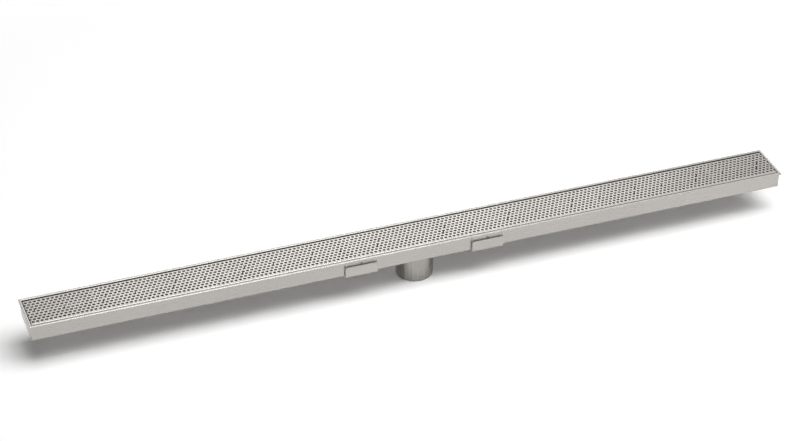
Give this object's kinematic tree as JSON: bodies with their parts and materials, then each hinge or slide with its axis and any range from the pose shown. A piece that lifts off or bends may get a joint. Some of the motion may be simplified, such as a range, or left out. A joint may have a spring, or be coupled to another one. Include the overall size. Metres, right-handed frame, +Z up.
{
  "type": "linear shower drain",
  "caption": "Long shallow stainless shower channel with a lift-out perforated grate, a round outlet spigot underneath and folded fixing lugs on its long walls.",
  "frame": {"origin": "centre of the outlet pipe's lower end, on the surface that the drain stands on", "axes": "+X along the drain's length, +Y across it to the rear wall, +Z up through the grate"},
  "size_m": [1.067, 0.0676, 0.061],
  "materials": {
    "tray_steel": "satin stainless sheet",
    "pipe_steel": "drawn stainless tube, brushed lengthwise",
    "grate_steel": "satin perforated stainless sheet",
    "rib_steel": "mill stainless strip",
    "strainer_steel": "pressed stainless sheet",
    "lug_steel": "mill stainless strip"
  },
  "bodies": {
    "root": {"channel_tray": "tray_steel", "end_plate_left": "tray_steel", "end_plate_right": "tray_steel", "outlet_pipe": "pipe_steel", "grate_plate": "grate_steel", "cross_rib_1": "rib_steel", "cross_rib_2": "rib_steel", "cross_rib_3": "rib_steel", "cross_rib_4": "rib_steel", "cross_rib_5": "rib_steel", "cross_rib_6": "rib_steel", "hair_strainer": "strainer_steel", "lug_front_left": "lug_steel", "lug_front_right": "lug_steel", "lug_rear_left": "lug_steel", "lug_rear_right": "lug_steel"}
  },
  "joints": []
}
